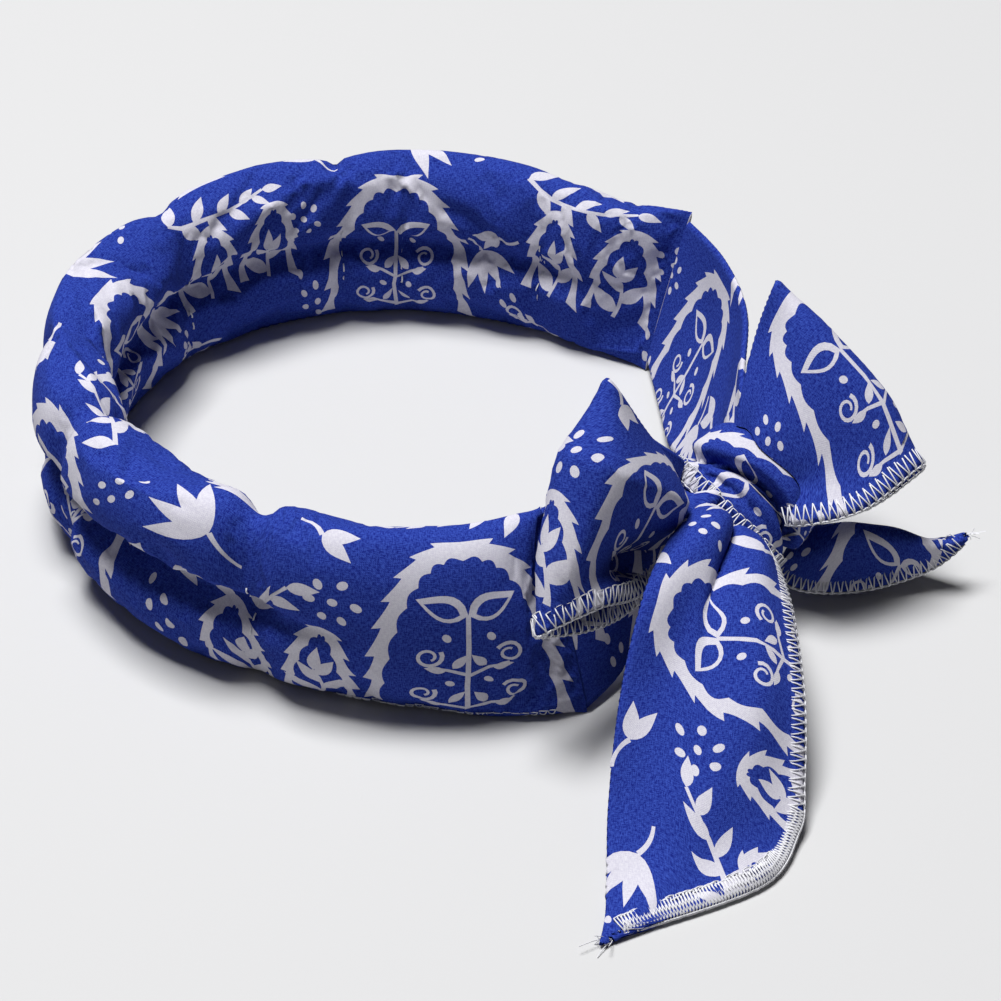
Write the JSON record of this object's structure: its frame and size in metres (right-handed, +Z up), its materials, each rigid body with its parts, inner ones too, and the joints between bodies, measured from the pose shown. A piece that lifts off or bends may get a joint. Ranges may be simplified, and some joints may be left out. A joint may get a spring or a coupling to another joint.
{
  "type": "dog cooling bandana",
  "caption": "Padded cotton ring for a dog's neck, sewn across into short cells, its flat ends tied in a bow with two loops and two tails.",
  "frame": {"origin": "on the surface it lies on, under the middle of the whole piece", "axes": "+Z up out of the surface, -Y towards the viewer, with the bow on the +X side and its long tail towards -Y"},
  "size_m": [0.2352, 0.2592, 0.0777],
  "materials": {
    "padded_cotton": "matt",
    "cotton": "matt"
  },
  "bodies": {
    "root": {"neck_band": "padded_cotton", "knot_wrap": "cotton", "front_tail": "cotton", "left_loop": "cotton", "right_loop": "cotton", "right_tail": "cotton", "front_lead": "cotton", "back_lead": "cotton"}
  },
  "joints": []
}
